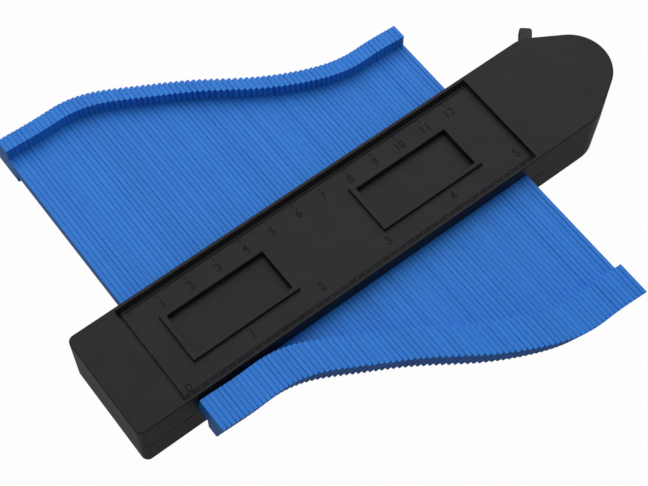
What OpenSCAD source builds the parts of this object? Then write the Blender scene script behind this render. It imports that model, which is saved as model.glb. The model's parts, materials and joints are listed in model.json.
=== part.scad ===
// Contour gauge: a row of sliding teeth held between two moulded covers, with a cam lock in the nose.
// X runs along the body towards the nose, Y along the teeth, Z up from the flat back.

/* [Body] */
// Width of the body, measured along the teeth
body_w = 37.5; // [32:0.1:44]
// Thickness of the body with both covers closed
body_h = 22.4; // [21:0.1:28]
// Wall thickness of the covers
wall = 2.2; // [1.6:0.1:3]
// Length of the block at the square end, beyond the scale panel
tail_block = 16.25; // [14:0.05:24]
// Length from the scale panel to the start of the nose taper
nose_block = 25.05; // [20:0.05:32]
// Angle of each nose flank to the long axis
nose_taper = 31; // [22:0.1:34]
// Radius of the nose tip
tip_r = 13.2; // [10:0.1:14]
// Blend radius where a side turns into a flank
shoulder_r = 11; // [3:0.5:12]
// Corner radius at the square end
corner_r = 2.2; // [1:0.1:4]

/* [Scale panel] */
// Length of panel left beyond each end of the row of teeth
panel_margin = 3.77; // [3:0.01:6]
// Depth of the panel below the end blocks
panel_depth = 1.9; // [1:0.1:2.4]
// Flat rim along the inch edge
inch_rim = 0.8; // [0.6:0.1:2]
// Flat rim along the centimetre edge
cm_rim = 0.8; // [0.2:0.05:2]
// Width of the sloped band that carries the graduations
ramp_w = 2.2; // [1.5:0.1:3]

/* [Label frames] */
// Outer length of a label frame
frame_len = 38.7; // [30:0.1:44]
// Outer width of a label frame
frame_w = 18; // [14:0.1:22]
// Width of the frame's border at its two ends
frame_end = 1.95; // [1.2:0.05:3]
// Width of the frame's border along its two sides
frame_side = 1.55; // [1.2:0.05:3]
// Height of the frame above the panel
frame_rise = 1.2; // [0.6:0.1:1.6]
// Depth of the label pocket below the top of its frame
pocket_depth = 2.3; // [2:0.1:3.4]
// Panel between the square end's step and its frame
frame_a_in = 9.6; // [2:0.1:14]
// Panel between the nose's step and its frame
frame_b_in = 14.45; // [2:0.05:16]

/* [Teeth] */
// Number of teeth
tooth_count = 81; // [61:1:101]
// Distance from one tooth to the next
tooth_pitch = 1.555; // [1.4:0.005:1.7]
// Air between two teeth
tooth_gap = 0.04; // [0.02:0.01:0.1]
// Height of a tooth's shank
shank_h = 5; // [4:0.1:6]
// Length of the shank between its shoulders
shank_len = 103.5; // [95:0.1:130]
// Height of the head at each end of a tooth
head_h = 14.6; // [12:0.1:16]
// Length of the longer lip of a head: the upper near one and the lower far one
lip_long = 11.6; // [8:0.1:14]
// Length of the upper lip of the far head
lip_short = 5.2; // [3:0.1:7]
// Length of the lower lip of the near head
lip_under = 4.2; // [3:0.1:7]
// How far the lower lips are set over towards the inch edge
lower_set = 3; // [0:0.1:5]
// Clearance of a shank in its slot, above and below
slot_clear = 0.2; // [0.1:0.05:0.4]
// Clearance at each end of the row
row_clear = 0.15; // [0.1:0.05:0.4]

/* [Contour] */
// Smallest gap from the body to the shoulders of the first teeth
contour_gap = 0.73; // [0.1:0.01:3]
// How far the last teeth stand below the first ones
contour_drop = 40.6; // [0:0.1:50]
// Place along the body where the contour starts to fall
contour_start = -45.3; // [-60:0.1:-20]
// Place along the body where the contour is level again
contour_end = 47.1; // [20:0.1:60]
// Height of the long ripple of a hand-set contour
ripple_a = 0.22; // [0:0.01:0.6]
// Length of the long ripple
ripple_a_len = 40; // [30:1:60]
// Height of the short ripple of a hand-set contour
ripple_b = 0.19; // [0:0.01:0.6]
// Length of the short ripple
ripple_b_len = 29; // [20:1:40]

/* [Lock] */
// Radius of the eccentric cam
cam_r = 10; // [8:0.1:10.5]
// Distance of the cam's centre from the pivot
cam_throw = 0.8; // [0.4:0.05:1]
// Thickness of the cam
cam_t = 7; // [5:0.1:8]
// Direction of the lever arm at rest, from the long axis
lever_angle = 49.5; // [44:0.1:56]
// Angle that the lever turns from open to locked
lever_swing = 36; // [20:1:40]
// Width of the lever arm
lever_w = 4.3; // [3:0.1:5]
// Thickness of the lever arm
lever_t = 4; // [3:0.1:5]
// Length of arm that stands out of the nose flank at rest
tab_out = 10.5; // [8:0.1:16]
// Diameter of the lever's pivot pin
pin_d = 4; // [3:0.1:5]
// Running clearance of the lever on its pin
pin_clear = 0.05; // [0.02:0.01:0.1]
// Thickness of the pressure block along the body
block_t = 6.2; // [5:0.1:8]
// Length of the pressure block along the teeth
block_len = 26; // [20:0.5:28]
// Gap left between the last tooth and the locked pressure block
lock_gap = 0.05; // [0.03:0.01:0.2]
// Gap from the pressure block to the cam
cam_gap = 0.1; // [0.05:0.01:0.2]
// Thickness of the preload spring's strip
spring_t = 0.4; // [0.3:0.05:0.6]
// Length of the preload spring along the teeth
spring_len = 26; // [20:0.5:28]

/* [Screws] */
// Diameter of a screw's shank
screw_d = 2.5; // [2.2:0.1:3]
// Diameter of a screw's head
screw_head_d = 5.4; // [4.6:0.1:6]
// Height of a screw's head
screw_head_h = 2; // [1.6:0.1:2.4]
// Length of a screw's shank
screw_len = 14; // [12:0.5:15]
// Distance of the tail screws from the square end
tail_screw_in = 7.5; // [6:0.1:9]
// Distance of the tail screws from the body's sides
tail_screw_edge = 7.7; // [6:0.1:10]
// Distance of the side screws behind the pressure block
side_screw_in = 4.6; // [4:0.1:6]
// Distance of the side screws from the body's sides
side_screw_edge = 4.5; // [4:0.1:5]

/* [Hidden] */
$fn = 64;
eps = 0.01;
arc_step = 5;
least_r = 0.4;
body_color = "#343437";
tooth_color = "#3f7fd2";
block_color = "#dcd9cf";
steel_color = "#b9bcc0";
mid = body_h / 2;
half_w = body_w / 2;
row_half = tooth_count * tooth_pitch / 2;
panel_x = row_half + panel_margin;
panel_y = (inch_rim - cm_rim) / 2;
panel_z = body_h - panel_depth;
tail_x = -(panel_x + tail_block);
nose_x = panel_x + nose_block;
frame_top = panel_z + frame_rise;
frames_x = [frame_a_in + frame_len / 2 - panel_x, panel_x - frame_b_in - frame_len / 2];
pocket = [frame_len - 2 * frame_end, frame_w - 2 * frame_side];

// Nose flank as the line sin(taper) x + cos(taper) y = flank_d
flank_d = sin(nose_taper) * nose_x + cos(nose_taper) * half_w;
tip_x = (flank_d - tip_r) / sin(nose_taper);

// Slot for the shanks, which run on the rear cover's flat face
slot_top = mid + shank_h + 2 * slot_clear;
slot_half = row_half + row_clear;
row_z = mid + slot_clear + shank_h / 2;

// Lock: the open cam leads its highest push by half the swing
fit_clear = 0.2;
hub_clear = 0.1;
cam_lead = 90 - lever_swing / 2;
cam_reach = cam_throw * cos(cam_lead);
block_x = row_half + lock_gap + 2 * cam_reach;
block_back = block_x + block_t;
block_h = shank_h - 2 * fit_clear;
block_room = 1;
cavity_x = block_back + block_room;
pivot_x = block_back + cam_gap + cam_r - cam_reach;
arm_exit = (flank_d - sin(nose_taper) * pivot_x) / sin(nose_taper + lever_angle);
arm_len = arm_exit + tab_out;
arm_corner = 1;
arm_side_clear = 0.6;
hub_half = cam_t / 2 + hub_clear;
pin_hold = 4;
pin_boss_r = pin_d / 2 + pin_hold;

// Preload spring between the stop wall and the first tooth
stop_wall = 2.5;
seat_step = 0.3;
seat_gap = 0.05;
spring_gap = 0.1;
spring_edge = 0.5;
spring_h = shank_h - 2 * spring_edge;
spring_seat_x = seat_step - panel_x;
spring_crest = -row_half - spring_gap;
spring_rise = spring_crest - spring_seat_x - seat_gap - spring_t;
spring_r = (pow(spring_len / 2, 2) + pow(spring_rise, 2)) / (2 * spring_rise) + spring_t;

// Screw bosses, with a wider foot for the counterbore
pilot_clear = 0.03;
pilot_past = 1;
boss_wall = 1.9;
boss_r = screw_d / 2 + boss_wall;
foot_wall = 1.5;
foot_r = screw_head_d / 2 + foot_wall;
head_sink = 0.4;
head_top = head_sink + screw_head_h;
foot_h = head_top + boss_wall;
tail_screws_at = [for (s = [-1, 1]) [tail_x + tail_screw_in, s * (half_w - tail_screw_edge)]];
side_screws_at = [for (s = [-1, 1]) [block_back + side_screw_in, s * (half_w - side_screw_edge)]];
nose_screws_at = concat(side_screws_at, [[tip_x, 0]]);
screws_at = concat(tail_screws_at, nose_screws_at);

// Teeth are held in sets of two neighbours that slide together
set_size = 2;
set_count = ceil(tooth_count / set_size);
ripple_a_phase = 54;
ripple_b_phase = 131;

function set_name(i) = str("teeth_", i < 10 ? "0" : "", i);
function tooth_x(k) = -row_half + (k + 0.5) * tooth_pitch;
function ease(t) = t <= 0 ? 0 : t >= 1 ? 1 : t * t * (3 - 2 * t);
function fall_at(x) = contour_drop * ease((x - contour_start) / (contour_end - contour_start));
function ripple_at(x, size, length, phase) = size * (1 - sin(360 * x / length + phase));
function tooth_y(x) = shank_len / 2 - half_w - contour_gap - fall_at(x)
    - ripple_at(x, ripple_a, ripple_a_len, ripple_a_phase)
    - ripple_at(x, ripple_b, ripple_b_len, ripple_b_phase);

// Points of an arc about (x, y), one for every few degrees
function arc(x, y, r, from, to) =
    let (steps = ceil(abs(to - from) / arc_step))
    [for (i = [0 : steps]) let (a = from + (to - from) * i / steps) [x + r * cos(a), y + r * sin(a)]];

// Plan of the body, taken in by an even inset
module outline(inset = 0) {
    w = half_w - inset;
    taper = nose_taper;
    shoulder = max(shoulder_r - inset, least_r);
    corner = max(corner_r - inset, least_r);
    corner_x = tail_x + inset + corner;
    shoulder_x = (flank_d - inset - cos(taper) * w) / sin(taper) - shoulder * tan(taper / 2);
    polygon(concat(
        arc(corner_x, corner - w, corner, 180, 270),
        arc(shoulder_x, shoulder - w, shoulder, -90, taper - 90),
        arc(tip_x, 0, tip_r - inset, taper - 90, 90 - taper),
        arc(shoulder_x, w - shoulder, shoulder, 90 - taper, 90),
        arc(corner_x, w - corner, corner, 90, 180)));
}

// A box given by its ends along X, its half width along Y and its ends along Z
module span_box(x0, x1, half_y, z0, z1) {
    translate([x0, -half_y, z0]) cube([x1 - x0, 2 * half_y, z1 - z0]);
}

module at_each(places) {
    for (p = places) translate([p[0], p[1], 0]) children();
}

// Room in the front cover for the teeth, the spring and the block
module row_space() {
    span_box(-slot_half, slot_half, body_w, mid - eps, slot_top);
    span_box(spring_seat_x, 0, spring_len / 2 + fit_clear, mid - eps, slot_top);
    span_box(0, cavity_x + eps, block_len / 2 + fit_clear, mid - eps, slot_top);
}

// Two cores under the teeth, which leave a rail along each side of the rear cover and one down its middle
module row_cores() {
    for (y = [wall, wall - half_w])
        translate([-slot_half, y, wall]) cube([2 * slot_half, half_w - 2 * wall, mid]);
}

// Room inside both covers for the swinging lever
module lock_space() {
    translate([pivot_x, 0, mid - cam_t / 2]) cylinder(h = cam_t, r = cam_r + cam_throw + fit_clear);
    lever_slot();
}

// Slot in the far side of the nose, as wide as the arm's whole swing
module lever_slot() {
    reach = arm_len + lever_w;
    half = lever_w / 2 + arm_side_clear;
    ends = [lever_angle, lever_angle + lever_swing];
    fan = [for (a = [ends[0], (ends[0] + ends[1]) / 2, ends[1]]) reach * [cos(a), sin(a)]];
    translate([pivot_x, 0, mid - lever_t / 2 - fit_clear])
        linear_extrude(lever_t + 2 * fit_clear) {
            for (a = ends) rotate(a) translate([0, -half]) square([reach, 2 * half]);
            polygon(concat([[0, 0]], fan));
        }
}

// Hollow of the square end and of the nose between two heights
module hollows(z0, z1) {
    span_box(tail_x + wall, spring_seat_x - stop_wall, half_w - wall, z0, z1);
    intersection() {
        translate([0, 0, z0]) linear_extrude(z1 - z0) outline(wall);
        span_box(cavity_x, nose_x + body_w, body_w, z0, z1);
    }
}

// Tray of the scale panel: a floor with a sloped band along each edge
module panel_tray() {
    near = -half_w + inch_rim;
    far = half_w - cm_rim;
    translate([-panel_x, 0, 0]) rotate([90, 0, 90]) linear_extrude(2 * panel_x)
        polygon([
            [near, body_h + eps], [near, body_h], [near + ramp_w, panel_z],
            [far - ramp_w, panel_z], [far, body_h], [far, body_h + eps]]);
}

// A block on the panel at each label frame's place, between two heights
module label_blocks(size, z0, z1) {
    for (x = frames_x)
        translate([x - size[0] / 2, panel_y - size[1] / 2, z0]) cube([size[0], size[1], z1 - z0]);
}

module front_cover() {
    hub_z = mid + hub_half;
    color(body_color) difference() {
        union() {
            difference() {
                translate([0, 0, mid]) linear_extrude(body_h - mid) outline();
                panel_tray();
            }
            label_blocks([frame_len, frame_w], panel_z - eps, frame_top);
        }
        label_blocks(pocket, frame_top - pocket_depth, frame_top + eps);
        row_space();
        lock_space();
        difference() {
            hollows(mid - eps, body_h - wall);
            at_each(screws_at) cylinder(h = body_h, r = boss_r);
            translate([pivot_x, 0, hub_z]) cylinder(h = body_h - hub_z, r = pin_boss_r);
        }
        at_each(screws_at) cylinder(h = head_top + screw_len + pilot_past, d = screw_d + 2 * pilot_clear);
        translate([pivot_x, 0, 0]) cylinder(h = hub_z + pin_hold, d = pin_d + 2 * pilot_clear);
    }
}

module rear_cover() {
    hub_z = mid - hub_half;
    color(body_color) difference() {
        linear_extrude(mid) outline();
        row_cores();
        lock_space();
        difference() {
            hollows(wall, mid + eps);
            at_each(screws_at) {
                cylinder(h = body_h, r = boss_r);
                cylinder(h = foot_h, r = foot_r);
            }
            translate([pivot_x, 0, 0]) cylinder(h = hub_z, r = pin_boss_r);
        }
        at_each(screws_at) translate([0, 0, -eps]) {
            cylinder(h = body_h, d = screw_d + 2 * pilot_clear);
            cylinder(h = head_top + eps, d = screw_head_d + 2 * fit_clear);
        }
        translate([pivot_x, 0, hub_z - pin_hold]) cylinder(h = body_h, d = pin_d + 2 * pilot_clear);
    }
}

module lock_lever() {
    color(body_color) translate([pivot_x, 0, mid]) difference() {
        union() {
            rotate(cam_lead) translate([cam_throw, 0, -cam_t / 2]) cylinder(h = cam_t, r = cam_r);
            rotate(lever_angle) translate([0, -lever_w / 2, -lever_t / 2]) {
                cube([arm_len - arm_corner, lever_w, lever_t]);
                translate([0, arm_corner, 0]) cube([arm_len, lever_w - 2 * arm_corner, lever_t]);
                for (y = [arm_corner, lever_w - arm_corner])
                    translate([arm_len - arm_corner, y, 0]) cylinder(h = lever_t, r = arm_corner);
            }
        }
        translate([0, 0, -cam_t]) cylinder(h = 2 * cam_t, d = pin_d + 2 * pin_clear);
    }
}

module lever_pin() {
    reach = hub_half + pin_hold;
    color(steel_color) translate([pivot_x, 0, mid - reach]) cylinder(h = 2 * reach, d = pin_d);
}

module pressure_block() {
    color(block_color) span_box(block_x, block_back, block_len / 2, row_z - block_h / 2, row_z + block_h / 2);
}

// A strip bowed towards the first tooth, with its two ends on the stop wall
module preload_spring() {
    color(steel_color) intersection() {
        translate([spring_crest - spring_r, 0, row_z - spring_h / 2]) difference() {
            cylinder(h = spring_h, r = spring_r);
            translate([0, 0, -eps]) cylinder(h = spring_h + 2 * eps, r = spring_r - spring_t);
        }
        span_box(spring_seat_x + seat_gap, spring_crest + spring_t, spring_len / 2, 0, body_h);
    }
}

module screw() {
    translate([0, 0, head_sink]) cylinder(h = screw_head_h, d = screw_head_d);
    translate([0, 0, head_top - eps]) cylinder(h = screw_len + eps, d = screw_d);
}

module tail_screws() {
    color(steel_color) at_each(tail_screws_at) screw();
}

module nose_screws() {
    color(steel_color) at_each(nose_screws_at) screw();
}

// Side view of a tooth: a shank with a slanted head at each end, the lower half being a half turned over and set over
function half_tooth(lip) = [
    [-shank_len / 2 - lip_long, head_h / 2], [-shank_len / 2, head_h / 2], [-shank_len / 2, shank_h / 2],
    [shank_len / 2, shank_h / 2], [shank_len / 2, head_h / 2], [shank_len / 2 + lip, head_h / 2]];
upper_half = half_tooth(lip_short);
lower_half = [for (p = half_tooth(lip_under)) [-p[0] - lower_set, -p[1]]];

module tooth(k) {
    thick = tooth_pitch - tooth_gap;
    translate([tooth_x(k) - thick / 2, tooth_y(tooth_x(k)), row_z]) rotate([90, 0, 90])
        linear_extrude(thick) polygon(concat(upper_half, lower_half));
}

module teeth(i) {
    first = (i - 1) * set_size;
    color(tooth_color) for (k = [first : min(first + set_size, tooth_count) - 1]) tooth(k);
}

front_cover();
rear_cover();
lock_lever();
lever_pin();
pressure_block();
preload_spring();
tail_screws();
nose_screws();
for (i = [1 : set_count]) teeth(i);
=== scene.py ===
import json

import bmesh
import bpy
import numpy as np
from mathutils import Matrix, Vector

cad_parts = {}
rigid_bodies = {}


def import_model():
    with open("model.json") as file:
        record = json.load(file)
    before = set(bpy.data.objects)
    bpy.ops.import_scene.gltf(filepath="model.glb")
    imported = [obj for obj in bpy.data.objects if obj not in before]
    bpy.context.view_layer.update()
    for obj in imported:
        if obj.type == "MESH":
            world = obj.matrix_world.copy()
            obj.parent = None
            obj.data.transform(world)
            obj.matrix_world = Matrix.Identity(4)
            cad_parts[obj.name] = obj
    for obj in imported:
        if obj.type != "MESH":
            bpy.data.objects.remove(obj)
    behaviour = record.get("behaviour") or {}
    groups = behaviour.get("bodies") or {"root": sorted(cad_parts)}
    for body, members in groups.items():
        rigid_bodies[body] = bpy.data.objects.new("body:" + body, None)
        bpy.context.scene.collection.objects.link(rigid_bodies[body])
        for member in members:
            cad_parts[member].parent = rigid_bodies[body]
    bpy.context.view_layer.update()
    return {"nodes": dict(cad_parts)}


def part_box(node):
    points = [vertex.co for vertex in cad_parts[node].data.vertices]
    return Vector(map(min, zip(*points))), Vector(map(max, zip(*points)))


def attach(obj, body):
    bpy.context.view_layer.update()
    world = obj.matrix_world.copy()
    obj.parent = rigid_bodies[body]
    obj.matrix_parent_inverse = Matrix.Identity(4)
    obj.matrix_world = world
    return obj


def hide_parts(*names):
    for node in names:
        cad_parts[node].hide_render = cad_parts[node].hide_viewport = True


for leftOver in list(bpy.data.objects):
    bpy.data.objects.remove(leftOver)
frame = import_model()
scene = bpy.context.scene
scene.view_settings.view_transform = "Standard"
mm = 0.001  # sizes below are in millimetres, meshes in metres
print("frame loaded:", len(frame["nodes"]), "CAD nodes")


def hexColor(code):
    # each sRGB channel to linear: c / 12.92 when dark, else ((c + 0.055) / 1.055) to the power 2.4
    srgb = np.array([int(code[i:i + 2], 16) for i in (1, 3, 5)]) / 255
    linear = np.where(srgb <= 0.04045, srgb / 12.92, ((srgb + 0.055) / 1.055) ** 2.4)
    return (*linear.tolist(), 1.0)


def addNode(tree, kind, inputs=None, **settings):
    # inputs are plain values or another node's output
    node = tree.nodes.new("ShaderNode" + kind)
    for name, value in settings.items():
        setattr(node, name, value)
    for name, value in (inputs or {}).items():
        if isinstance(value, bpy.types.NodeSocket):
            tree.links.new(value, node.inputs[name])
        else:
            node.inputs[name].default_value = value
    return node


def newMaterial(name):
    material = bpy.data.materials.new(name)
    material.use_nodes = True
    material.node_tree.nodes.clear()
    return material, material.node_tree


def gridFaces(rows, cols, closeRows=False, closeCols=False):
    # every cell of a rows x cols grid of points as a quad, wrapping round where asked
    index = np.arange(rows * cols).reshape(rows, cols)
    if closeRows:
        index = np.concatenate([index, index[:1]])
    if closeCols:
        index = np.concatenate([index, index[:, :1]], axis=1)
    corners = [index[:-1, :-1], index[1:, :-1], index[1:, 1:], index[:-1, 1:]]
    return np.stack(corners, -1).reshape(-1, 4).tolist()


def join(parts):
    # stacks (points, faces) pairs into one, moving each part's face numbers up
    points, faces = [], []
    for partPoints, partFaces in parts:
        start = sum(len(p) for p in points)
        points.append(np.asarray(partPoints).reshape(-1, 3))
        faces += [[start + i for i in face] for face in partFaces]
    return np.concatenate(points), faces


def meshPoints(mesh):
    co = np.empty(len(mesh.vertices) * 3, np.float32)
    mesh.vertices.foreach_get("co", co)
    return co.reshape(-1, 3)


# how every mesh is closed and shaded: points this close are merged, a rim this level is filled
meshSettings = {"weld": 0.002, "level": 0.001, "flatWeight": 100}


def addPiece(name, parts, material, body, replaced=(), sharpDeg=40, fillZ=None):
    # parts in mm; joins them, merges seams, closes a flat side at height fillZ and turns faces outwards
    points, faces = join(parts)
    mesh = bpy.data.meshes.new(name)
    mesh.from_pydata((points * mm).tolist(), [], faces)
    work = bmesh.new()
    work.from_mesh(mesh)
    bmesh.ops.remove_doubles(work, verts=work.verts, dist=meshSettings["weld"] * mm)
    if fillZ is not None:
        level = meshSettings["level"] * mm
        rim = [e for e in work.edges
               if e.is_boundary and all(abs(v.co.z - fillZ * mm) < level for v in e.verts)]
        bmesh.ops.triangle_fill(work, edges=rim, use_beauty=True)
    bmesh.ops.recalc_face_normals(work, faces=work.faces)
    work.to_mesh(mesh)
    work.free()
    mesh.shade_smooth()
    mesh.set_sharp_from_angle(angle=np.radians(sharpDeg))
    mesh.materials.append(material)
    piece = bpy.data.objects.new(name, mesh)
    scene.collection.objects.link(piece)
    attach(piece, body)
    if replaced:
        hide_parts(*replaced)
    even = piece.modifiers.new("evenNormals", "WEIGHTED_NORMAL")  # flat areas stay flat beside rounded edges
    even.weight, even.keep_sharp = meshSettings["flatWeight"], True
    return piece


# Moulded plastics: a spark-eroded mould leaves a fine satin grain, and slow cooling leaves faint clouds.
# The real grain is about 0.1 mm, under a pixel here, so it is drawn 0.4 mm wide to show.
plasticGrain = {
    "grainMm": 0.4, "grainDetail": 2, "grainSpan": (0.3, 0.7), "bumpStrength": 0.6,
    "cloudDetail": 3, "cloudSpan": (0.35, 0.65), "cloudShare": 0.45, "stripeSpan": (0.1, 1.35),
}
plasticLooks = {
    "mouldedAbsBlack": {"dark": "#17171a", "light": "#1c1c1e", "cloudMm": 9, "grainDeep": 0.012,
                        "rough": (0.38, 0.48), "ior": 1.5, "level": 0.125},
    # the marks are darker than the body: painted shade that stands for the shadow in and beside the raised
    # ticks and digits
    "shadePaintedAbsMarks": {"dark": "#0e0e10", "light": "#121214", "cloudMm": 6, "grainDeep": 0.004,
                     "rough": (0.5, 0.6), "ior": 1.5, "level": 0.1},
    # the pips are lighter than the body: a painted highlight that stands for the glint on each raised pip
    "highlightPaintedAbsPips": {"dark": "#45454a", "light": "#5c5c60", "cloudMm": 2, "grainDeep": 0.004,
                      "rough": (0.36, 0.46), "ior": 1.5, "level": 0.3},
    "mouldedAbsBlue": {"dark": "#2973cb", "light": "#2d7bd6", "cloudMm": 14, "grainDeep": 0.006,
                       "rough": (0.42, 0.52), "ior": 1.5, "level": 0.15, "stripeMm": 1.555},
    "mouldedNylonBlack": {"dark": "#18181a", "light": "#1e1e20", "cloudMm": 5, "grainDeep": 0.01,
                          "rough": (0.46, 0.56), "ior": 1.53, "level": 0.2},
    "mouldedAcetalWhite": {"dark": "#d6d3c8", "light": "#e2dfd6", "cloudMm": 8, "grainDeep": 0.006,
                           "rough": (0.3, 0.4), "ior": 1.48, "level": 0.5},
}


def mouldedPlastic(name):
    look, fine = plasticLooks[name], plasticGrain
    material, tree = newMaterial(name)
    where = addNode(tree, "TexCoord").outputs["Object"]
    cloud = addNode(tree, "TexNoise", {
        "Vector": where, "Scale": 1 / (look["cloudMm"] * mm), "Detail": fine["cloudDetail"]}).outputs[0]
    grain = addNode(tree, "TexNoise", {
        "Vector": where, "Scale": 1 / (fine["grainMm"] * mm), "Detail": fine["grainDetail"]}).outputs[0]
    low, high = fine["cloudSpan"]
    blend = addNode(tree, "MapRange", {"Value": cloud, "From Min": low, "From Max": high}).outputs[0]
    if "stripeMm" in look:  # each tooth is a moulding with its own shade, and one is centred on x = 0
        along = addNode(tree, "SeparateXYZ", {0: where}).outputs["X"]
        perTooth = 1 / (look["stripeMm"] * mm)
        count = addNode(tree, "Math", {0: along, 1: perTooth, 2: 0.5}, operation="MULTIPLY_ADD").outputs[0]
        number = addNode(tree, "Math", {0: count}, operation="FLOOR").outputs[0]
        shade = addNode(tree, "TexWhiteNoise", {"W": number}, noise_dimensions="1D").outputs["Value"]
        blend = addNode(tree, "Math", {
            0: blend, 1: fine["cloudShare"], 2: shade}, operation="MULTIPLY_ADD").outputs[0]
        low, high = fine["stripeSpan"]
        blend = addNode(tree, "MapRange", {"Value": blend, "From Min": low, "From Max": high}).outputs[0]
    tint = addNode(tree, "Mix", {
        0: blend, 6: hexColor(look["dark"]), 7: hexColor(look["light"])}, data_type="RGBA").outputs[2]
    (low, high), (shiny, dull) = fine["grainSpan"], look["rough"]
    rough = addNode(tree, "MapRange", {
        "Value": grain, "From Min": low, "From Max": high, "To Min": shiny, "To Max": dull}).outputs[0]
    bump = addNode(tree, "Bump", {
        "Height": grain, "Strength": fine["bumpStrength"], "Distance": look["grainDeep"] * mm}).outputs[0]
    shader = addNode(tree, "BsdfPrincipled", {
        "Base Color": tint, "Roughness": rough, "Normal": bump,
        "IOR": look["ior"], "Specular IOR Level": look["level"]})
    addNode(tree, "OutputMaterial", {"Surface": shader.outputs[0]})
    return material


# Plated and rolled steel: thin zinc is bluish and a little cloudy, and rolled strip has fine lines along it
metalSpots = {"detail": 4, "span": (0.3, 0.7)}
metalLooks = {
    "zincPlatedSteel": {"dark": "#a9adb2", "light": "#c3c6ca", "spotMm": (1.5, 1.5, 1.5),
                        "rough": (0.25, 0.38)},
    "rolledSpringSteel": {"dark": "#8f9296", "light": "#adb0b3", "spotMm": (0.3, 12, 0.4),
                          "rough": (0.28, 0.4)},
}


def platedMetal(name):
    look = metalLooks[name]
    material, tree = newMaterial(name)
    where = addNode(tree, "TexCoord").outputs["Object"]
    scale = [1 / (size * mm) for size in look["spotMm"]]
    stretched = addNode(tree, "Mapping", {"Vector": where, "Scale": scale}).outputs[0]
    spots = addNode(tree, "TexNoise", {
        "Vector": stretched, "Scale": 1.0, "Detail": metalSpots["detail"]}).outputs[0]
    tint = addNode(tree, "Mix", {
        0: spots, 6: hexColor(look["dark"]), 7: hexColor(look["light"])}, data_type="RGBA").outputs[2]
    (low, high), (shiny, dull) = metalSpots["span"], look["rough"]
    rough = addNode(tree, "MapRange", {
        "Value": spots, "From Min": low, "From Max": high, "To Min": shiny, "To Max": dull}).outputs[0]
    shader = addNode(tree, "BsdfPrincipled", {"Base Color": tint, "Metallic": 1.0, "Roughness": rough})
    addNode(tree, "OutputMaterial", {"Surface": shader.outputs[0]})
    return material


looks = {name: mouldedPlastic(name) for name in plasticLooks}
looks.update({name: platedMetal(name) for name in metalLooks})
print("materials made:", ", ".join(looks))


# Covers: two shells that meet at half height, each swept from one chain of points round the outline
coverSettings = {
    "cornerR": 2.2, "shoulderR": 11.0, "tipR": 13.2, "taperDeg": 31.0, "noseX": 91.7975,
    "cornerSteps": 8, "shoulderSteps": 8, "tipSteps": 13, "tipEndDeg": -3,
    "edgeR": 0.3, "edgeDeg": (0, 30, 60, 90), "partingChamfer": 0.15, "chamferFade": (0.1, 2),
    "wallT": 2.15, "slotHalf": 63.1275, "slotDeep": 5.4, "hollowDeep": 7.8,
    "leverSlotDeg": (49.5, 85.5), "leverSlotHalf": 2.75, "leverSlotDeep": 2.2,
    "panelX": 66.7475, "panelDeep": 1.9, "rampNear": (-17.95, -15.75), "rampFar": (16.9, 17.65),
    "trayBlunt": 0.12,  # half the width over which a corner of the tray is cut
    "stepGrooveWide": 1.05, "stepGrooveDeep": 0.7, "lineGrooveY": (15.95, 16.25), "lineGrooveDeep": 0.2,
    "frameX": ((-57.1475, -18.4475), (13.5975, 52.2975)), "frameY": (-9.0, 9.0), "frameRise": 1.2,
    "frameEnd": 1.95, "frameSide": 1.55, "pocketDeep": 2.3,
    "softAt": (-0.22, -0.06, 0.06, 0.22), "softRise": (0, 0.06, 0.94, 1),  # a moulded edge, 0.44 mm wide
    "counterboreR": 2.9, "counterboreDeep": 2.3, "counterboreChamfer": 0.25, "counterboreSteps": 32,
    "counterboreFloorR": 1.3, "sharpDeg": 50,
}
cover = coverSettings


def boxCorners(node):
    # lowest and highest corner of a CAD node, in mm
    return [np.array(corner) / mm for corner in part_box(node)]


lowCorner, highCorner = boxCorners("front_cover")
tailX, halfW, midZ, topZ = lowCorner[0], highCorner[1], lowCorner[2], highCorner[2]
pivot = sum(boxCorners("lever_pin")) / 2
softAt, softRise = cover["softAt"], cover["softRise"]


def softBetween(value, low, high):
    # 1 between two edges and 0 outside them, with a rounded step at each
    return np.interp(value - low, softAt, softRise) - np.interp(value - high, softAt, softRise)


blunt = cover["trayBlunt"]
(nearTop, nearFoot), (farFoot, farTop) = cover["rampNear"], cover["rampFar"]
lineFrom, lineTo = cover["lineGrooveY"]
trayLines = [nearTop - blunt, nearTop + blunt, nearFoot - blunt, nearFoot + blunt,
             lineFrom, lineFrom + blunt, lineTo - blunt, lineTo,
             farFoot - blunt, farFoot + blunt, farTop - blunt, farTop + blunt]


def trayDepth(y):
    # the tray's cross-section: flat rims, a sloped band at the near edge, a fine groove and a steep far wall
    full, deep = cover["panelDeep"], cover["panelDeep"] + cover["lineGrooveDeep"]
    near, far = full * blunt / (nearFoot - nearTop), full * blunt / (farTop - farFoot)
    depths = [0, near, full - near, full, full, deep, deep, full, full, full - far, far, 0]
    return np.interp(y, trayLines, depths)


def faceHeight(x, y):
    # top face: the tray sinks between the end blocks with a groove at its square end, each label frame rises
    # from it and its pocket sinks again
    inside = softBetween(x, -cover["panelX"], cover["panelX"])
    z = topZ - trayDepth(y) * inside
    floorEdges = [nearFoot - blunt, nearFoot + blunt, farFoot - blunt, farFoot + blunt]
    between = np.interp(y, floorEdges, [0, 1, 1, 0])
    groove = softBetween(x, -cover["panelX"], cover["stepGrooveWide"] - cover["panelX"])
    z = z - cover["stepGrooveDeep"] * groove * between
    low, high = cover["frameY"]
    for left, right in cover["frameX"]:
        z = z + cover["frameRise"] * softBetween(x, left, right) * softBetween(y, low, high)
        z = z - cover["pocketDeep"] * (softBetween(x, left + cover["frameEnd"], right - cover["frameEnd"])
                                       * softBetween(y, low + cover["frameSide"], high - cover["frameSide"]))
    return z


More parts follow.
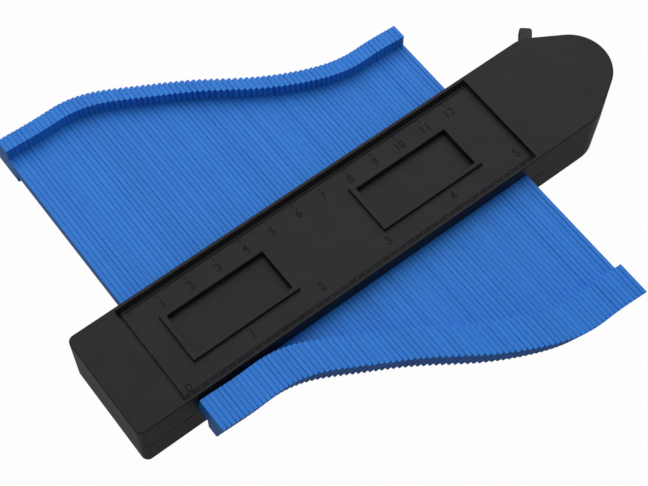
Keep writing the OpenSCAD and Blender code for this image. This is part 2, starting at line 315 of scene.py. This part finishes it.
def arcChain(x, y, radius, fromDeg, toDeg, count):
    # points x + r cos a, y + r sin a, with (cos a, sin a) as the outward direction
    a = np.radians(np.linspace(fromDeg, toDeg, count))
    outward = np.stack([np.cos(a), np.sin(a)], 1)
    return np.concatenate([np.array([x, y]) + radius * outward, outward], 1)


def sideChain(xs):
    # points along the straight near side, facing outwards
    xs = np.asarray(xs, float)
    return np.stack([xs, np.full_like(xs, -halfW), np.zeros_like(xs), np.full_like(xs, -1.0)], 1)


def leverSlotEnds(shoulderEnd, tipStart, flankD, taper):
    # the slot's first edge meets the straight side at an x, its last edge meets the flank at a share of its
    # length; a point on an edge is pivot + r (cos a, sin a) + offset (-sin a, cos a)
    half = cover["leverSlotHalf"]
    last, first = np.radians(cover["leverSlotDeg"])
    r = (halfW - half * np.cos(first)) / np.sin(first)
    sideX = pivot[0] + r * np.cos(first) - half * np.sin(first)
    r = flankD - np.sin(taper) * (pivot[0] + half * np.sin(last)) + np.cos(taper) * half * np.cos(last)
    flankX = pivot[0] + r / np.sin(taper + last) * np.cos(last) + half * np.sin(last)
    return sideX, (flankX - shoulderEnd) / (tipStart - shoulderEnd)


def outlineChain(slotDeep, slotRoof):
    # near half of the outline from the square end to the tip; x and y, outward direction, then for each point
    # how high the near edge, the far edge and the inner roof are above the parting plane
    c = cover
    taper = np.radians(c["taperDeg"])
    shoulderX = c["noseX"] - c["shoulderR"] * np.tan(taper / 2)
    flankD = np.sin(taper) * c["noseX"] + np.cos(taper) * halfW
    tipX = (flankD - c["tipR"]) / np.sin(taper)
    edges = [x for pair in c["frameX"] for x in pair]
    edges += [x + s for (l, r) in c["frameX"] for x, s in ((l, c["frameEnd"]), (r, -c["frameEnd"]))]
    lines = np.sort(np.add.outer(edges, softAt).ravel())
    step = c["panelX"] + np.array(softAt)
    flankDeg = c["taperDeg"] - 90
    corner = arcChain(tailX + c["cornerR"], c["cornerR"] - halfW, c["cornerR"], 180, 270, c["cornerSteps"])
    shoulder = arcChain(shoulderX, c["shoulderR"] - halfW, c["shoulderR"], -90, flankDeg, c["shoulderSteps"])
    tip = arcChain(tipX, 0, c["tipR"], flankDeg, c["tipEndDeg"], c["tipSteps"])
    sideX, share = leverSlotEnds(shoulder[-1, 0], tip[0, 0], flankD, taper)
    flank = shoulder[-1] + (tip[0] - shoulder[-1]) * np.array([[share]])
    tail = np.concatenate([-step[::-1], c["stepGrooveWide"] - step[::-1], [-c["slotHalf"]]])
    slot = np.concatenate([[-c["slotHalf"]], lines, [c["slotHalf"]]])
    nose = np.concatenate([[c["slotHalf"]], step, [sideX]])
    hollow = c["hollowDeep"]
    parts = [
        (corner, 0, 0, hollow),
        (sideChain(tail), 0, 0, hollow),
        (sideChain(slot), slotDeep, slotDeep, slotRoof),
        (sideChain(nose), 0, 0, hollow),
        (np.concatenate([sideChain([sideX]), shoulder, flank]), 0, c["leverSlotDeep"], hollow),
        (np.concatenate([flank, tip]), 0, 0, hollow),
    ]
    return np.concatenate([np.hstack([p, np.tile([float(a), b, r], (len(p), 1))]) for p, a, b, r in parts])


frameLow, frameHigh = cover["frameY"]
rowEdges = [frameLow, frameLow + cover["frameSide"], frameHigh - cover["frameSide"], frameHigh]
rimY = halfW - cover["edgeR"]
rowLines = np.concatenate([np.add.outer(rowEdges, softAt).ravel(), trayLines, [-rimY, 0, rimY]])
rowShares = np.sort(rowLines) / rimY


def sheetPoints(chain, inset, height):
    # a sheet across the shell: x from the chain moved in by the inset, y = row share x half width there
    x = (chain[:, 0] - inset * chain[:, 2])[:, None] + 0 * rowShares
    y = -(chain[:, 1] - inset * chain[:, 3])[:, None] * rowShares
    z = height(x, y) if callable(height) else np.asarray(height)[:, None] + 0 * rowShares
    return np.stack([x, y, z], -1)


def shellSides(chain):
    # the outline as one closed loop (near side, nose, far side back, square end), carried down a profile:
    # rounded top edge, outer wall, parting chamfer, the wall's foot, then up the inner wall
    c = cover

    def endLine(point, order):
        share = rowShares[1:-1][::order]
        flat = np.ones_like(share)
        return np.stack([point[0] * flat, -point[1] * share, point[2] * flat, -point[3] * share,
                         0 * flat, point[6] * flat], 1)

    near = chain[:, [0, 1, 2, 3, 4, 6]]
    far = chain[::-1][:, [0, 1, 2, 3, 5, 6]] * [1, -1, 1, -1, 1, 1]
    loop = np.concatenate([near, endLine(chain[-1], 1), far, endLine(chain[0], -1)])
    place, outward, foot, roof = loop[:, :2], loop[:, 2:4], midZ + loop[:, 4], midZ + loop[:, 5]
    fade = [c["slotHalf"] + past for past in c["chamferFade"]]  # the chamfer grows beyond the slot's ends
    cut = c["partingChamfer"] * np.interp(np.abs(place[:, 0]), fade, [0, 1])
    insets, heights = [], []
    for a in np.radians(c["edgeDeg"]):
        insets.append(np.full(len(loop), c["edgeR"] * (1 - np.sin(a))))
        heights.append(np.full(len(loop), topZ - c["edgeR"] * (1 - np.cos(a))))
    for up, inset in ((c["slotDeep"], 0), (c["leverSlotDeep"], 0), (c["partingChamfer"], 0), (0, cut)):
        z = np.maximum(midZ + up, foot)
        insets.append(np.where(z > midZ + up, 0, inset) + 0 * foot)
        heights.append(z)
    insets += [np.full(len(loop), c["wallT"])] * 2
    heights += [foot, roof]
    insets, heights = np.array(insets), np.array(heights)
    flat = place[None] - insets[..., None] * outward[None]
    return np.concatenate([flat, heights[..., None]], -1)


def shellParts(chain):
    sides, roof = shellSides(chain), sheetPoints(chain, cover["wallT"], midZ + chain[:, 6])
    return [(sides, gridFaces(*sides.shape[:2], closeCols=True)), (roof, gridFaces(*roof.shape[:2]))]


frontChain = outlineChain(cover["slotDeep"], cover["slotDeep"])
faceSheet = sheetPoints(frontChain, cover["edgeR"], faceHeight)
frontParts = shellParts(frontChain) + [(faceSheet, gridFaces(*faceSheet.shape[:2]))]
addPiece("frontCoverShell", frontParts, looks["mouldedAbsBlack"], "body", ["front_cover"],
         sharpDeg=cover["sharpDeg"])

# Screws: pan heads with a cross recess, seen only from the back; their places come from the CAD's boxes,
# two in the square end, two behind the pressure block and one in the tip
screwSettings = {
    "headR": 2.7, "headFrom": 0.4, "headTo": 2.4, "faceR": (0, 0.4, 0.65, 1.1, 1.5, 1.75),
    "rim": ((2.3, 0.02), (2.6, 0.14)), "rimFall": 0.4,  # radius and fall of the rounded rim's rings
    "shankR": 1.25, "shankTo": 16.4, "pointR": 0.6, "pointLen": 0.7,
    "crossHalf": 0.42, "crossReach": 1.65, "crossDeep": 0.9, "crossSide": 0.12, "crossEnd": 0.2,
    "turnDeg": 20, "steps": 48, "sharpDeg": 35,
}
screw = screwSettings
(tailLow, tailHigh), (noseLow, noseHigh) = boxCorners("tail_screws"), boxCorners("nose_screws")
headR = screw["headR"]
screwPlaces = [(tailLow[0] + headR, side * (tailHigh[1] - headR)) for side in (-1, 1)]
screwPlaces += [(noseLow[0] + headR, side * (noseHigh[1] - headR)) for side in (-1, 1)]
screwPlaces += [(noseHigh[0] - headR, 0)]


def lathe(places, profile, count):
    # profile of (radius, height) turned about each place: x + r cos a, y + r sin a, z
    a = np.linspace(0, 2 * np.pi, count, endpoint=False)
    radius, z = np.array(profile, float).T
    ring = np.stack([np.multiply.outer(radius, np.cos(a)), np.multiply.outer(radius, np.sin(a)),
                     np.repeat(z[:, None], count, 1)], -1)
    return [(ring + [x, y, 0], gridFaces(len(profile), count, closeCols=True)) for x, y in places]


# the lower shell has an even edge under the teeth, is turned over, and has five counterbores in its flat back
boreR, boreDeep, boreCut = cover["counterboreR"], cover["counterboreDeep"], cover["counterboreChamfer"]
boreProfile = [(boreR + boreCut, 0), (boreR, boreCut), (boreR, boreDeep),
               (cover["counterboreFloorR"], boreDeep), (0, boreDeep)]
rearChain = outlineChain(0, cover["hollowDeep"])
turned = [(part * [1, 1, -1] + [0, 0, topZ], cells) for part, cells in shellParts(rearChain)]
rearParts = turned + lathe(screwPlaces, boreProfile, cover["counterboreSteps"])
rearShell = addPiece("rearCoverShell", rearParts, looks["mouldedAbsBlack"], "body",
                     ["rear_cover"], sharpDeg=cover["sharpDeg"], fillZ=0)
print("covers built:", len(rearShell.data.vertices), "points in the lower shell")


# Raised graduations and numbers on the tray, dark with painted shade, and light pips with a painted highlight
markSettings = {
    "zeroX": -63.5, "centimetre": 10, "inch": 25.4, "mmCount": 127, "cmCount": 12, "inchCount": 5,
    "mmTickY": (15.6, 16.75), "cmTickY": (14.2, 16.75), "eighthY": (-17.27, -16.7),
    "tickRise": 0.12, "tickWide": 0.3, "tickSink": 0.04, "tickTop": 0.55,
    "cmDigitY": 11.9, "cmDigitH": 2.9, "inchDigitY": -12.0, "inchDigitH": 3.0, "zeroDigitAt": (0.6, -14.5),
    "digitRise": 0.1, "digitSeat": 0.4, "digitBold": 0.012, "fontDepth": 0.05, "fontSteps": 3,
}
marks = markSettings


def tickBars(xs, fromY, toY):
    # low bars on the tray: at each place a four-cornered section carried along y at the tray's own height
    ys = np.array([fromY, toY])
    half, rise, sink = marks["tickWide"] / 2, marks["tickRise"], marks["tickSink"]
    top = half * marks["tickTop"]
    across, up = np.array([[-half, -sink], [-top, rise], [top, rise], [half, -sink]]).T
    z = topZ - trayDepth(ys)
    bar = np.stack([np.broadcast_to(across, (2, 4)), np.repeat(ys[:, None], 4, 1), z[:, None] + up], -1)
    cells = gridFaces(2, 4, closeCols=True) + [[3, 2, 1, 0], [4, 5, 6, 7]]
    return [(bar + [x, 0, 0], cells) for x in xs]


def digitSolids(words, x, y, tall):
    # built-in lettering made into a thin solid, scaled to its height and set on the tray's floor
    curve = bpy.data.curves.new("digit", "FONT")
    curve.body, curve.extrude = words, marks["fontDepth"]
    curve.resolution_u, curve.offset = marks["fontSteps"], marks["digitBold"]
    holder = bpy.data.objects.new("digit", curve)
    scene.collection.objects.link(holder)
    mesh = bpy.data.meshes.new_from_object(holder.evaluated_get(bpy.context.evaluated_depsgraph_get()))
    co = meshPoints(mesh).astype(float)
    cells = [list(p.vertices) for p in mesh.polygons]
    bpy.data.objects.remove(holder)
    low, high = co.min(0), co.max(0)
    size = tall / (high[1] - low[1])
    co = (co - (low + high) / 2) * [size, size, marks["digitRise"] / (high[2] - low[2])]
    return [(co + [x, y, topZ - cover["panelDeep"] + marks["digitRise"] * marks["digitSeat"]], cells)]


cmX = marks["zeroX"] + marks["centimetre"] * np.arange(marks["cmCount"] + 1)
mmX = marks["zeroX"] + np.array([k for k in range(marks["mmCount"] + 1) if k % marks["centimetre"]])
inchX = marks["zeroX"] + marks["inch"] * np.arange(marks["inchCount"] + 1)
eighthX = marks["zeroX"] + marks["inch"] / 8 * np.arange(8 * marks["inchCount"] + 1)
cmTicks = tickBars(mmX, *marks["mmTickY"]) + tickBars(cmX, *marks["cmTickY"])
# the ticks take the darker marks material, whose colour is painted shade
addPiece("centimetreTicks", cmTicks, looks["shadePaintedAbsMarks"], "body")
# the eighth-inch pips are drawn light grey, a painted highlight
addPiece("inchPips", tickBars(eighthX, *marks["eighthY"]), looks["highlightPaintedAbsPips"], "body")
digits = []
for k in range(1, marks["cmCount"] + 1):
    digits += digitSolids(str(k), cmX[k], marks["cmDigitY"], marks["cmDigitH"])
for k in range(1, marks["inchCount"] + 1):
    digits += digitSolids(str(k), inchX[k], marks["inchDigitY"], marks["inchDigitH"])
zeroOver, zeroY = marks["zeroDigitAt"]
digits += digitSolids("0", inchX[0] + zeroOver, zeroY, marks["inchDigitH"])
# the digits take the same darker colour, painted shade on their strokes
addPiece("scaleDigits", digits, looks["shadePaintedAbsMarks"], "body")
print("graduations built:", len(mmX) + len(cmX) + len(eighthX), "ticks and", len(digits), "numbers")


# Teeth: flat bars with a slanted head at each end, edges broken a little differently on each
toothSettings = {
    "shankLen": 103.5, "shankH": 5.0, "headH": 14.6,
    "lipLong": 11.6, "lipShort": 5.2, "lipUnder": 4.2, "lowerSet": 3.0,
    "edgeCut": (0.08, 0.24), "edgeWide": (0.04, 0.22), "gapPower": 4,  # a few gaps are much wider
    "tipCut": (0.2, 0.4), "tipWide": 0.22, "tipLen": 1.2, "faceSnap": 0.02, "seed": 7, "sharpDeg": 30,
}
tooth = toothSettings
spread = np.random.default_rng(tooth["seed"])
# places among the side view's 12 points: the tips, the corner next to each, the two sides that end a tooth,
# then where withTips adds its points and where the tips are after that
tipCorners, nextCorners, endSides = [0, 5, 6, 11], [1, 4, 7, 10], [5, 11]
tipStarts, tipsInRing = [1, 5, 7, 11], [0, 7, 8, 15]


def toothProfile():
    # side view about the middle of its box; the lower half is a half turned over and set over
    end, shank, head, over = tooth["shankLen"] / 2, tooth["shankH"] / 2, tooth["headH"] / 2, tooth["lowerSet"]
    upper, lower = [np.array([[-end - tooth["lipLong"], head], [-end, head], [-end, shank],
                              [end, shank], [end, head], [end + lip, head]])
                    for lip in (tooth["lipShort"], tooth["lipUnder"])]
    return np.concatenate([upper, -lower - [over, 0]]) + [over / 2, 0]


def insetProfile(profile, cuts):
    # moves every side of the profile in by its own cut and meets neighbouring sides again
    side = np.roll(profile, -1, 0) - profile
    inward = np.stack([side[:, 1], -side[:, 0]], 1) / np.linalg.norm(side, axis=1)[:, None]
    reach = (inward * profile).sum(1) + cuts
    before, reachBefore = np.roll(inward, 1, 0), np.roll(reach, 1, -1)
    cross = before[:, 0] * inward[:, 1] - before[:, 1] * inward[:, 0]
    y = (reachBefore * inward[:, 1] - reach * before[:, 1]) / cross
    z = (before[:, 0] * reach - inward[:, 0] * reachBefore) / cross
    return np.stack([y, z], -1)


def withTips(ring):
    # adds a point a little way back from each of the four tip corners, where the rounding of the tip begins
    tips, towards = ring[tipCorners], ring[nextCorners]
    step = (towards - tips) / np.linalg.norm(towards - tips, axis=1)[:, None]
    return np.insert(ring, tipStarts, tips + tooth["tipLen"] * step, axis=0)


def toothSolids(name):
    # the profile carried across the tooth's thickness, drawn in at both faces and most of all at the tips
    co = meshPoints(frame["nodes"][name].data) / mm
    profile = toothProfile()
    low, high = tooth["edgeWide"]
    solids = []
    for left, right in np.unique(np.round(co[:, 0], 2)).reshape(-1, 2):
        outline = co[np.abs(co[:, 0] - left) < tooth["faceSnap"], 1:]
        cuts = np.full(len(profile), spread.uniform(*tooth["edgeCut"]))
        cuts[endSides] = spread.uniform(*tooth["tipCut"])
        drawn, full = withTips(insetProfile(profile, cuts)), withTips(profile)
        count = len(full)
        uneven = spread.uniform(0, 1, (2, 1)) ** tooth["gapPower"]
        wide = np.repeat(low + (high - low) * uneven, count, 1)
        wide[:, tipsInRing] = tooth["tipWide"]
        x = np.array([0 * wide[0] + left, left + wide[0], right - wide[1], 0 * wide[1] + right])
        rings = np.array([drawn, full, full, drawn]) + (outline.min(0) + outline.max(0)) / 2
        caps = [list(range(count)), list(range(3 * count, 4 * count))]
        solids.append((np.concatenate([x[..., None], rings], -1), gridFaces(4, count, closeCols=True) + caps))
    return solids


toothNodes = sorted(n for n in frame["nodes"] if n.startswith("teeth_"))
for name in toothNodes:
    addPiece(name.replace("teeth_", "toothPair"), toothSolids(name), looks["mouldedAbsBlue"], name,
             [name], sharpDeg=tooth["sharpDeg"])
print("teeth built:", len(toothNodes), "sets")


# Lock lever: an eccentric cam on its pin, with a rounded arm that comes out of the nose
leverSettings = {
    "camR": 10.0, "camThrow": 0.8, "camLeadDeg": 72.0, "camT": 7.0, "camSteps": 64, "boreR": 2.05,
    "edge": 0.4, "edgeMiddle": 0.3, "armDeg": 49.5, "armW": 4.3, "armT": 4.0, "armFrom": 5.0,
    "sectionR": 0.55, "sectionSteps": 5, "tipR": 1.0, "tipSteps": 6, "tipShrink": 0.8, "plainEnd": 4,
    "sharpDeg": 45,
}
lever = leverSettings


def camRings():
    # rings from the bore's foot, up it, over the cam's rounded edges and back; the bore keeps the pivot as
    # its middle and the cam its own off-centre one
    half, edge, r, bore = lever["camT"] / 2, lever["edge"], lever["camR"], lever["boreR"]
    lead = np.radians(lever["camLeadDeg"])
    off = lever["camThrow"] * np.array([np.cos(lead), np.sin(lead)])
    a = np.linspace(0, 2 * np.pi, lever["camSteps"], endpoint=False)
    bend = edge * lever["edgeMiddle"]
    # radius, height and share of the cam's offset
    table = np.array([(bore, -half, 0), (bore, half, 0), (r - edge, half, 1), (r - bend, half - bend, 1),
                      (r, half - edge, 1), (r, edge - half, 1), (r - bend, bend - half, 1),
                      (r - edge, -half, 1)])
    x = pivot[0] + table[:, 2:] * off[0] + table[:, :1] * np.cos(a)
    y = table[:, 2:] * off[1] + table[:, :1] * np.sin(a)
    z = midZ + table[:, 1:2] + 0 * a
    return np.stack([x, y, z], -1)


def armTube():
    # a rounded rectangle carried along the arm, drawn in over a quarter turn at the tip; the length follows
    # from the CAD lever's far corner
    direction, tipR, r = np.radians(lever["armDeg"]), lever["tipR"], lever["sectionR"]
    along = np.array([np.cos(direction), np.sin(direction)])
    across = np.array([-np.sin(direction), np.cos(direction)])
    farCorner = boxCorners("lock_lever")[1][:2]
    reach = ((farCorner - pivot[:2]) - np.abs(across) * (lever["armW"] / 2 - tipR) - tipR)
    length = (reach / along).mean() + tipR
    a = np.radians(np.linspace(0, 90, lever["tipSteps"]))
    plain = [lever["armFrom"], length - tipR - lever["plainEnd"]]
    u = np.concatenate([plain, length - tipR * (1 - np.sin(a))])
    drawn = np.concatenate([[0, 0], 1 - np.cos(a)])
    steps = lever["sectionSteps"]
    quarters = np.radians(np.arange(4)[:, None] * 90 + np.linspace(0, 90, steps))
    t, middle = quarters.ravel(), quarters[:, steps // 2]
    signU, signV = np.sign(np.cos(middle)).repeat(steps), np.sign(np.sin(middle)).repeat(steps)
    halfWide = lever["armW"] / 2 - drawn * tipR
    halfTall = lever["armT"] / 2 - drawn * r
    small = r * (1 - lever["tipShrink"] * drawn)
    sideways = signU * (halfWide - small)[:, None] + small[:, None] * np.cos(t)
    up = signV * (halfTall - small)[:, None] + small[:, None] * np.sin(t)
    flat = pivot[:2] + u[:, None, None] * along + sideways[..., None] * across
    solid = np.concatenate([flat, (midZ + up)[..., None]], -1)
    rings, count = solid.shape[:2]
    caps = [list(range(count)), list(range((rings - 1) * count, rings * count))]
    return solid, gridFaces(rings, count, closeCols=True) + caps


cam = camRings()
leverParts = [(cam, gridFaces(*cam.shape[:2], closeRows=True, closeCols=True)), armTube()]
leverArm = addPiece("lockLeverArm", leverParts, looks["mouldedNylonBlack"], "lock_lever",
                    ["lock_lever"], sharpDeg=lever["sharpDeg"])
print("lever built:", len(leverArm.data.vertices), "points")


def screwSolids(places):
    # rings of radius r from the face's middle over its rim, down the head and the shank to a blunt point; the
    # face sinks where |x| or |y| is inside the cross's arm and r inside its reach
    s, face = screw, screw["headFrom"]
    profile = [(r, face) for r in s["faceR"]] + [(r, face + fall) for r, fall in s["rim"]]
    profile += [(s["headR"], face + s["rimFall"]), (s["headR"], s["headTo"]), (s["shankR"], s["headTo"]),
                (s["shankR"], s["shankTo"] - s["pointLen"]), (s["pointR"], s["shankTo"]), (0, s["shankTo"])]
    r, z = np.array(profile, float).T
    a = np.linspace(0, 2 * np.pi, s["steps"], endpoint=False)
    turned = a + np.radians(s["turnDeg"])
    x, y = np.multiply.outer(r, np.cos(turned)), np.multiply.outer(r, np.sin(turned))
    arm = np.multiply.outer(r, np.minimum(np.abs(np.cos(a)), np.abs(np.sin(a))))
    sunk = np.interp(arm, [s["crossHalf"], s["crossHalf"] + s["crossSide"]], [1, 0])
    sunk = sunk * np.interp(r, [s["crossReach"] - s["crossEnd"], s["crossReach"]], [1, 0])[:, None]
    ring = np.stack([x, y, z[:, None] + s["crossDeep"] * sunk], -1)
    return [(ring + [px, py, 0], gridFaces(len(r), s["steps"], closeCols=True)) for px, py in places]


for name, node, places in (("tailScrewHeads", "tail_screws", screwPlaces[:2]),
                           ("noseScrewHeads", "nose_screws", screwPlaces[2:])):
    addPiece(name, screwSolids(places), looks["zincPlatedSteel"], "body", [node],
             sharpDeg=screw["sharpDeg"])
for node, look in (("pressure_block", "mouldedAcetalWhite"), ("lever_pin", "zincPlatedSteel"),
                   ("preload_spring", "rolledSpringSteel")):
    frame["nodes"][node].data.materials.clear()
    frame["nodes"][node].data.materials.append(looks[look])
print("screws built and inner CAD parts given their materials")


# Studio: a floor that the camera sees white, soft even surroundings and one broad lamp above and behind
studioSettings = {
    "floorHalf": 3000, "floorDrop": 0.05, "floorColor": "#6c6c6a", "floorGlow": 0.98, "mirrorGlow": 0.29,
    "skyColor": "#ffffff", "skyLight": 0.42, "skyMirrored": 0.9, "skyFrom": (0.25, 0.55, 0.8), "skyDim": 0.3,
    "lampPlace": (220, 360, 600), "lampSize": (1000, 800), "lampWatts": 4.7,
}
studio = studioSettings
material, tree = newMaterial("whitePaperFloor")  # matt paper, so shadows stay soft
paths = addNode(tree, "LightPath").outputs
mirrored = addNode(tree, "Math", {
    0: paths["Is Glossy Ray"], 1: paths["Is Transmission Ray"]}, operation="MAXIMUM").outputs[0]
dimmed = addNode(tree, "Math", {0: mirrored, 1: studio["mirrorGlow"]}, operation="MULTIPLY").outputs[0]
share = addNode(tree, "Math", {
    0: paths["Is Camera Ray"], 1: studio["floorGlow"], 2: dimmed}, operation="MULTIPLY_ADD").outputs[0]
matt = addNode(tree, "BsdfDiffuse", {"Color": hexColor(studio["floorColor"])}).outputs[0]
glow = addNode(tree, "Emission", {"Color": (1, 1, 1, 1), "Strength": 1.0}).outputs[0]
both = addNode(tree, "MixShader", {0: share, 1: matt, 2: glow})
addNode(tree, "OutputMaterial", {"Surface": both.outputs[0]})
half, drop = studio["floorHalf"], studio["floorDrop"]
floorPoints = np.array([[x * half, y * half, -drop] for x, y in ((-1, -1), (1, -1), (1, 1), (-1, 1))])
floorMesh = bpy.data.meshes.new("floor")
floorMesh.from_pydata((floorPoints * mm).tolist(), [], [[0, 1, 2, 3]])
floorMesh.materials.append(material)
floor = bpy.data.objects.new("floor", floorMesh)
scene.collection.objects.link(floor)

world = bpy.data.worlds.new("softSurroundings")
world.use_nodes = True
scene.world = world
tree = world.node_tree
tree.nodes.clear()
# mirrored rays see it bright above and behind and dim in front, the camera sees even white
paths = addNode(tree, "LightPath").outputs
where = addNode(tree, "TexCoord").outputs["Generated"]
facing = addNode(tree, "VectorMath", {
    0: where, 1: studio["skyFrom"]}, operation="DOT_PRODUCT").outputs["Value"]
shine = addNode(tree, "MapRange", {
    "Value": facing, "To Min": studio["skyDim"], "To Max": studio["skyMirrored"]}).outputs[0]
mirrored = addNode(tree, "Math", {
    0: paths["Is Glossy Ray"], 1: paths["Is Transmission Ray"]}, operation="MAXIMUM").outputs[0]
level = addNode(tree, "MapRange", {
    "Value": mirrored, "To Min": studio["skyLight"], "To Max": shine}).outputs[0]
level = addNode(tree, "Math", {0: level, 1: paths["Is Camera Ray"]}, operation="MAXIMUM").outputs[0]
sky = addNode(tree, "Background", {"Color": hexColor(studio["skyColor"]), "Strength": level})
addNode(tree, "OutputWorld", {"Surface": sky.outputs[0]})


def setPlace(thing, place, right, up, back):
    # the columns of its matrix are the thing's own right, up and back, then its place
    turn = np.eye(4)
    turn[:3, :3] = np.stack([right, up, back], 1)
    turn[:3, 3] = np.array(place) * mm
    thing.matrix_world = Matrix(turn.tolist())


lampData = bpy.data.lights.new("broadLamp", "AREA")
lampData.shape = "RECTANGLE"
lampData.size, lampData.size_y = [size * mm for size in studio["lampSize"]]
lampData.energy = studio["lampWatts"]
lamp = bpy.data.objects.new("broadLamp", lampData)
scene.collection.objects.link(lamp)
back = np.array(studio["lampPlace"], float) / np.linalg.norm(studio["lampPlace"])  # it looks at the origin
right = np.cross([0, 1, 0], back) / np.linalg.norm(np.cross([0, 1, 0], back))
setPlace(lamp, studio["lampPlace"], right, np.cross(back, right), back)
print("studio set")


# Camera: fitted to the graduations of the photographed gauge
cameraSettings = {
    "place": (-134.564, -165.747, 431.803), "lens": 84.996, "sensor": 36, "clip": (10, 20000),
    "right": (0.792975, -0.609192, 0.008709), "up": (0.539137, 0.708300, 0.455678),
    "back": (-0.283764, -0.356646, 0.890102),
}
view = cameraSettings
cameraData = bpy.data.cameras.new("photoCamera")
cameraData.lens, cameraData.sensor_width = view["lens"], view["sensor"]
cameraData.clip_start, cameraData.clip_end = [size * mm for size in view["clip"]]
camera = bpy.data.objects.new("photoCamera", cameraData)
scene.collection.objects.link(camera)
setPlace(camera, view["place"], view["right"], view["up"], view["back"])
scene.camera = camera
print("camera set")
